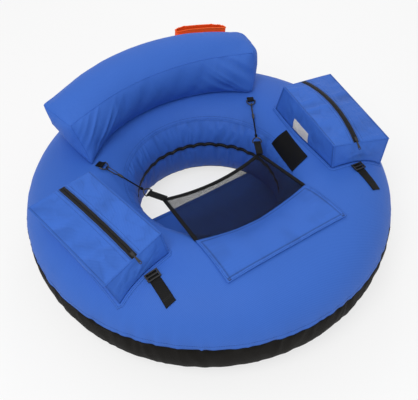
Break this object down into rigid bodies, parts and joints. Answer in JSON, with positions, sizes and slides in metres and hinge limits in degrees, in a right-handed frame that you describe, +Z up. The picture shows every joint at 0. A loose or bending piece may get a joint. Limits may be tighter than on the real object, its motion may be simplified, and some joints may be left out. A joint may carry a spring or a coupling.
{
  "type": "float tube",
  "caption": "Round inflatable float tube with a sling seat, a mesh lap apron clipped to a folding backrest, and zipped side pockets.",
  "frame": {"origin": "on the ground under the middle of the tube's hole", "axes": "+Z up, -Y to the front where the apron is, +Y to the backrest, X across from pocket to pocket"},
  "size_m": [1.2088, 1.2088, 0.5309],
  "materials": {
    "blue_fabric": "woven coated nylon, blue",
    "black_fabric": "woven coated nylon, black",
    "orange_fabric": "woven coated nylon, bright orange",
    "mesh_fabric": "open knitted mesh, black",
    "black_webbing": "woven webbing, black",
    "black_plastic": "moulded, black, satin",
    "zip_coil": "coil zip and its tape, black",
    "bladder_film": "welded film, grey",
    "valve_plastic": "moulded, light grey",
    "patch_fabric": "looped pile, off-white"
  },
  "bodies": {
    "tube": {"main_bladder": "bladder_film", "main_valve_stem": "valve_plastic", "cover_top_panel": "blue_fabric", "cover_inner_upper_panel": "blue_fabric", "closure_zip_tape": "zip_coil", "cover_inner_lower_panel": "blue_fabric", "cover_bottom_panel": "black_fabric", "seat_panel": "blue_fabric", "seat_strap": "black_webbing", "apron_panel": "blue_fabric", "backrest_tab_left": "black_webbing", "backrest_tab_right": "black_webbing", "left_pocket_body": "blue_fabric", "right_pocket_body": "blue_fabric", "left_pocket_strap": "black_webbing", "right_pocket_strap": "black_webbing", "blank_tag": "black_fabric", "hook_loop_patch": "patch_fabric"},
    "closure_slider": {"closure_zip_slider": "black_plastic"},
    "main_cap": {"main_valve_cap": "valve_plastic"},
    "apron": {"apron_mesh": "mesh_fabric", "apron_binding": "black_webbing", "apron_tab_left": "black_webbing", "apron_tab_right": "black_webbing"},
    "backrest": {"backrest_front_panel": "blue_fabric", "backrest_rear_panel": "orange_fabric", "backrest_top_panel": "blue_fabric", "backrest_bottom_panel": "blue_fabric", "backrest_end_left": "blue_fabric", "backrest_end_right": "blue_fabric", "backrest_bladder": "bladder_film", "backrest_valve_stem": "valve_plastic", "rear_pouch": "orange_fabric"},
    "backrest_cap": {"backrest_valve_cap": "valve_plastic"},
    "apron_ring_left": {"apron_ring_left": "black_plastic"},
    "backrest_ring_left": {"backrest_ring_left": "black_plastic"},
    "snap_hook_left": {"snap_hook_left": "black_plastic", "tether_cord_left": "black_webbing"},
    "snap_gate_left": {"snap_gate_left": "black_plastic"},
    "left_pocket_lid_inner": {"left_pocket_lid_inner": "blue_fabric", "left_pocket_zip_tape_inner": "zip_coil"},
    "left_pocket_lid_outer": {"left_pocket_lid_outer": "blue_fabric", "left_pocket_zip_tape_outer": "zip_coil"},
    "left_pocket_zip_slider": {"left_pocket_zip_slider": "black_plastic"},
    "left_pocket_zip_pull": {"left_pocket_zip_pull": "black_plastic"},
    "left_pocket_buckle": {"left_pocket_buckle": "black_plastic"},
    "apron_ring_right": {"apron_ring_right": "black_plastic"},
    "backrest_ring_right": {"backrest_ring_right": "black_plastic"},
    "snap_hook_right": {"snap_hook_right": "black_plastic", "tether_cord_right": "black_webbing"},
    "snap_gate_right": {"snap_gate_right": "black_plastic"},
    "right_pocket_lid_inner": {"right_pocket_lid_inner": "blue_fabric", "right_pocket_zip_tape_inner": "zip_coil"},
    "right_pocket_lid_outer": {"right_pocket_lid_outer": "blue_fabric", "right_pocket_zip_tape_outer": "zip_coil"},
    "right_pocket_zip_slider": {"right_pocket_zip_slider": "black_plastic"},
    "right_pocket_zip_pull": {"right_pocket_zip_pull": "black_plastic"},
    "right_pocket_buckle": {"right_pocket_buckle": "black_plastic"}
  },
  "joints": [
    {"name": "closure_zip_run", "type": "hinge", "parent": "tube", "child": "closure_slider", "pos_m": [0, 0, 0.186], "axis": [0, 0, 1], "range_deg": [0, 300]},
    {"name": "main_cap_pull", "type": "slide", "parent": "tube", "child": "main_cap", "axis": [0, 0.9992, -0.0409], "range_m": [0, 0.014]},
    {"name": "apron_lift", "type": "hinge", "parent": "tube", "child": "apron", "pos_m": [-0.008, -0.2587, 0.32828], "axis": [0.9999, 0, -0.0103], "range_deg": [0, 95]},
    {"name": "backrest_fold", "type": "hinge", "parent": "tube", "child": "backrest", "pos_m": [0, 0.185, 0.33882], "axis": [1, 0, 0], "range_deg": [0, 45]},
    {"name": "backrest_cap_pull", "type": "slide", "parent": "backrest", "child": "backrest_cap", "axis": [0, 0.9994, 0.0341], "range_m": [0, 0.014]},
    {"name": "apron_ring_left_swing", "type": "hinge", "parent": "apron", "child": "apron_ring_left", "pos_m": [-0.21228, 0.01438, 0.2908], "axis": [0.8805, 0.474, 0], "range_deg": [0, 80]},
    {"name": "backrest_ring_left_swing", "type": "hinge", "parent": "tube", "child": "backrest_ring_left", "pos_m": [-0.2946, 0.1673, 0.33801], "axis": [-0.8805, -0.474, 0], "range_deg": [0, 45]},
    {"name": "snap_hook_left_swing", "type": "hinge", "parent": "backrest_ring_left", "child": "snap_hook_left", "pos_m": [-0.28545, 0.15031, 0.33276], "axis": [-0.8805, -0.474, 0], "range_deg": [0, 40]},
    {"name": "snap_gate_left_press", "type": "hinge", "parent": "snap_hook_left", "child": "snap_gate_left", "pos_m": [-0.2671, 0.11621, 0.32845], "axis": [-0.8805, -0.474, 0], "range_deg": [0, 20], "stiffness_Nm_per_rad": 0.02},
    {"name": "left_pocket_lid_inner_open", "type": "hinge", "parent": "tube", "child": "left_pocket_lid_inner", "pos_m": [-0.309, -0.245, 0.419], "axis": [-0.1743, 0.9846, 0.0122], "range_deg": [0, 62.25]},
    {"name": "left_pocket_lid_outer_open", "type": "hinge", "parent": "tube", "child": "left_pocket_lid_outer", "pos_m": [-0.506, -0.29, 0.386], "axis": [0.1822, -0.9826, -0.0359], "range_deg": [0, 55]},
    {"name": "left_pocket_zip_run", "type": "hinge", "parent": "left_pocket_lid_inner", "child": "left_pocket_zip_slider", "pos_m": [-0.43849, -0.06249, -1.06299], "axis": [-0.984, -0.1783, 0], "range_deg": [0, 12.55]},
    {"name": "left_pocket_pull_flip", "type": "hinge", "parent": "left_pocket_zip_slider", "child": "left_pocket_zip_pull", "pos_m": [-0.40246, -0.26484, 0.40778], "axis": [-0.9759, -0.156, -0.1527], "range_deg": [0, 120]},
    {"name": "left_pocket_buckle_tilt", "type": "hinge", "parent": "tube", "child": "left_pocket_buckle", "pos_m": [-0.37442, -0.2884, 0.34204], "axis": [-0.9906, -0.0014, -0.1365], "range_deg": [0, 30]},
    {"name": "apron_ring_right_swing", "type": "hinge", "parent": "apron", "child": "apron_ring_right", "pos_m": [0.21228, 0.01438, 0.2908], "axis": [0.8805, -0.474, 0], "range_deg": [0, 80]},
    {"name": "backrest_ring_right_swing", "type": "hinge", "parent": "tube", "child": "backrest_ring_right", "pos_m": [0.2946, 0.1673, 0.33801], "axis": [-0.8805, 0.474, 0], "range_deg": [0, 45]},
    {"name": "snap_hook_right_swing", "type": "hinge", "parent": "backrest_ring_right", "child": "snap_hook_right", "pos_m": [0.28545, 0.15031, 0.33276], "axis": [-0.8805, 0.474, 0], "range_deg": [0, 40]},
    {"name": "snap_gate_right_press", "type": "hinge", "parent": "snap_hook_right", "child": "snap_gate_right", "pos_m": [0.2671, 0.11621, 0.32845], "axis": [-0.8805, 0.474, 0], "range_deg": [0, 20], "stiffness_Nm_per_rad": 0.02},
    {"name": "right_pocket_lid_inner_open", "type": "hinge", "parent": "tube", "child": "right_pocket_lid_inner", "pos_m": [0.309, -0.245, 0.419], "axis": [-0.1743, -0.9846, -0.0122], "range_deg": [0, 80.67]},
    {"name": "right_pocket_lid_outer_open", "type": "hinge", "parent": "tube", "child": "right_pocket_lid_outer", "pos_m": [0.506, -0.29, 0.386], "axis": [0.1822, 0.9826, 0.0359], "range_deg": [0, 55]},
    {"name": "right_pocket_zip_run", "type": "hinge", "parent": "right_pocket_lid_inner", "child": "right_pocket_zip_slider", "pos_m": [0.19472, -0.04541, -0.00791], "axis": [-0.8651, 0.1453, 0.4802], "range_deg": [0, 37.15]},
    {"name": "right_pocket_pull_flip", "type": "hinge", "parent": "right_pocket_zip_slider", "child": "right_pocket_zip_pull", "pos_m": [0.3888, -0.26263, 0.4103], "axis": [-0.9448, 0.274, 0.1794], "range_deg": [0, 120]},
    {"name": "right_pocket_buckle_tilt", "type": "hinge", "parent": "tube", "child": "right_pocket_buckle", "pos_m": [0.37442, -0.2884, 0.34204], "axis": [-0.9906, 0.0014, 0.1365], "range_deg": [0, 30]}
  ],
  "couplings": [
    {"joint": "left_pocket_lid_outer_open", "follows": "left_pocket_lid_inner_open", "ratio": 0.88353},
    {"joint": "left_pocket_zip_run", "follows": "left_pocket_lid_inner_open", "ratio": 0.20157},
    {"joint": "right_pocket_lid_outer_open", "follows": "right_pocket_lid_inner_open", "ratio": 0.68182},
    {"joint": "right_pocket_zip_run", "follows": "right_pocket_lid_inner_open", "ratio": 0.46055}
  ]
}
